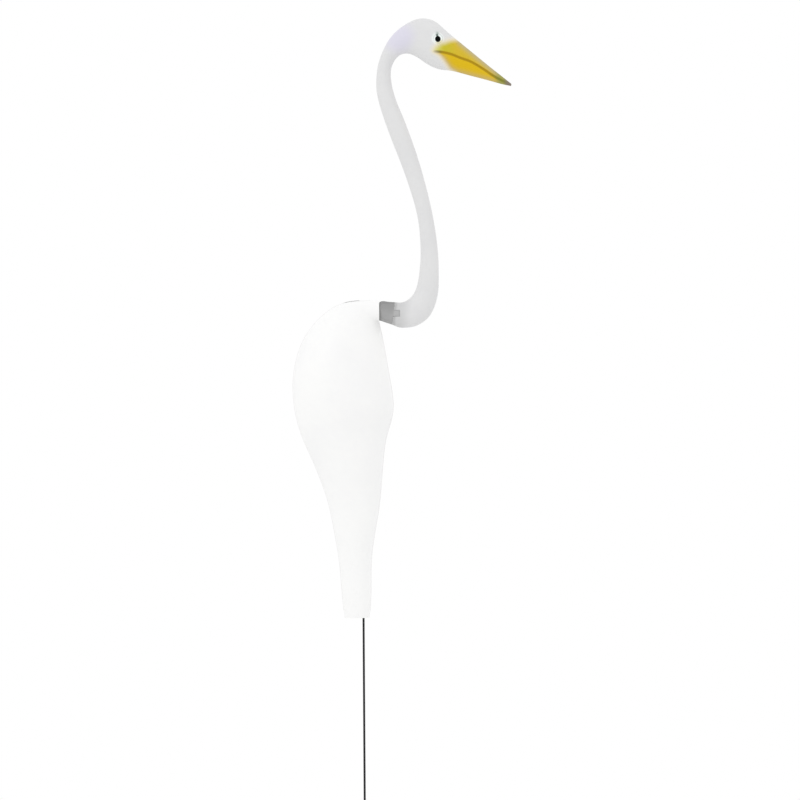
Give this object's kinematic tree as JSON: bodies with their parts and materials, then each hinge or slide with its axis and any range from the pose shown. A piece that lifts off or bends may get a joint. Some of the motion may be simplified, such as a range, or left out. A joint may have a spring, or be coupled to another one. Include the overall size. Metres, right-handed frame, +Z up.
{
  "type": "kinetic bird sculpture",
  "caption": "White egret garden sculpture whose hollow moulded body turns in the wind on the tip of a thin steel rod, with a long curved neck and a pointed yellow beak.",
  "frame": {"origin": "centre of the rod's flat lower end, where it meets the ground", "axes": "+Z up along the rod, the axis that the bird turns on; +X the way the beak points at rest; +Y to the bird's left"},
  "size_m": [0.3088, 0.124, 1.238],
  "materials": {
    "rod_black": "satin black paint on steel",
    "body_white": "smooth satin white moulding",
    "collar_grey": "matt dark grey",
    "neck_white": "satin pale grey-white, with the beak painted golden yellow and its tip dark",
    "eye_gloss": "glossy bead, black pupil in a pale ring"
  },
  "bodies": {
    "stake": {"rod": "rod_black"},
    "bird": {"body_shell": "body_white", "neck_collar": "collar_grey", "neck_and_head": "neck_white", "right_eye": "eye_gloss", "left_eye": "eye_gloss"}
  },
  "joints": [
    {"name": "swivel", "type": "hinge", "parent": "stake", "child": "bird", "pos_m": [0, 0, 0.826], "axis": [0, 0, 1], "continuous": true}
  ]
}
